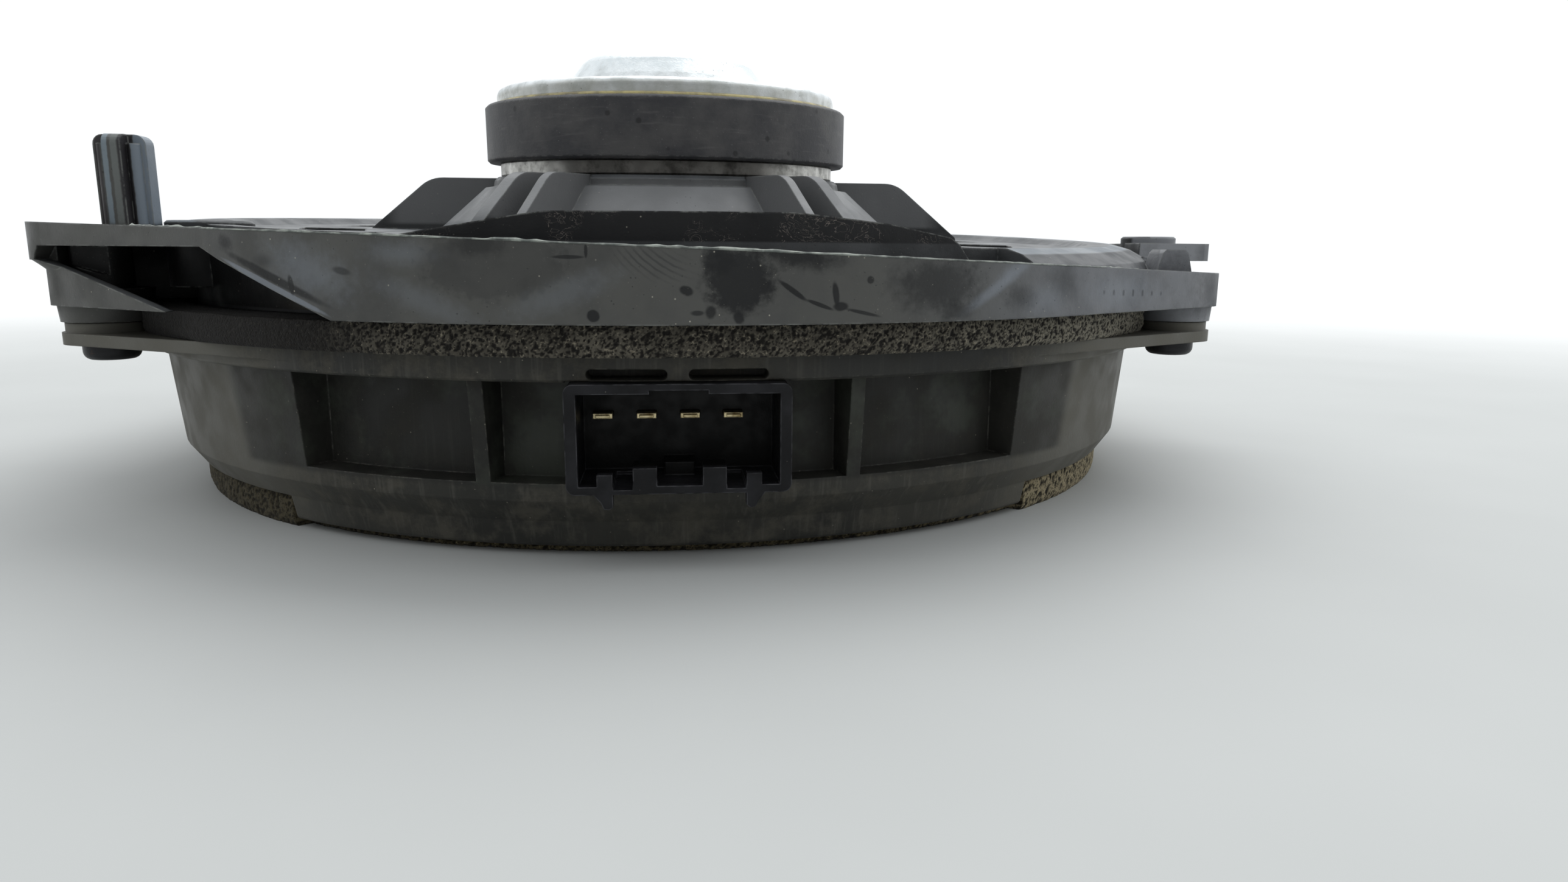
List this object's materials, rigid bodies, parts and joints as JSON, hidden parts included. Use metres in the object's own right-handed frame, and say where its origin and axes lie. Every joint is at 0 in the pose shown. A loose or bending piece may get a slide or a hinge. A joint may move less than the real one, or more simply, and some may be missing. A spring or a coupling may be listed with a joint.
{
  "type": "car door loudspeaker",
  "caption": "Round car door loudspeaker with a ferrite motor, ribbed plastic basket, eared flange, foam seals and a spacer ring with a side blade connector.",
  "frame": {"origin": "on the spacer ring's axis, in the plane of the front foam seal's face, which the speaker rests on", "axes": "+Z from the front seal towards the motor, -Y out of the connector, +X to the right as the connector is faced"},
  "size_m": [0.1936, 0.1855, 0.0691],
  "materials": {
    "ring_plastic": "dusty dark grey-brown moulding",
    "basket_plastic": "worn black moulding with blue-grey scuffs",
    "seal_foam": "brown open-cell foam",
    "gasket_foam": "dark open-cell foam with visible pores",
    "connector_plastic": "satin black",
    "terminal_brass": "tin-flashed brass blade",
    "screw_steel": "black coated steel",
    "plate_steel": "zinc-plated steel, slightly brown",
    "ferrite": "matt ground ferrite",
    "yoke_zinc": "bright zinc plate",
    "adhesive": "cured yellow adhesive",
    "ring_board": "pressed fibre board",
    "surround_rubber": "matt rubber",
    "spider_cloth": "resin-treated woven cloth",
    "cone_paper": "black pressed paper pulp",
    "cap_paper": "black coated paper",
    "former_paper": "brown heat-proof paper",
    "coil_copper": "enamelled copper winding",
    "tag_laminate": "brown phenolic laminate",
    "tag_tin": "tinned brass",
    "solder": "dull bright solder",
    "lead_braid": "braided tinsel copper"
  },
  "bodies": {
    "frame": {"spacer_ring": "ring_plastic", "front_seal": "seal_foam", "flange_gasket": "gasket_foam", "connector_housing": "connector_plastic", "terminal_1": "terminal_brass", "terminal_2": "terminal_brass", "terminal_3": "terminal_brass", "terminal_4": "terminal_brass", "basket": "basket_plastic", "joining_screws": "screw_steel", "top_plate": "plate_steel", "landing_rivets": "plate_steel", "magnet": "ferrite", "yoke": "yoke_zinc", "glue_bead": "adhesive", "surround_ring": "ring_board", "surround": "surround_rubber", "spider": "spider_cloth", "tag_board": "tag_laminate", "tag_rivets": "tag_tin", "solder_tag_left": "tag_tin", "solder_tag_right": "tag_tin", "solder_joints": "solder", "tinsel_lead_left": "lead_braid", "tinsel_lead_right": "lead_braid"},
    "cone_assembly": {"cone": "cone_paper", "dust_cap": "cap_paper", "coil_former": "former_paper", "voice_coil": "coil_copper"}
  },
  "joints": [
    {"name": "cone_travel", "type": "slide", "parent": "frame", "child": "cone_assembly", "axis": [0, -0.0349, 0.9994], "range_m": [-0.004, 0.004], "stiffness_N_per_m": 2000, "deforming": ["surround", "spider", "tinsel_lead_left", "tinsel_lead_right"]}
  ]
}
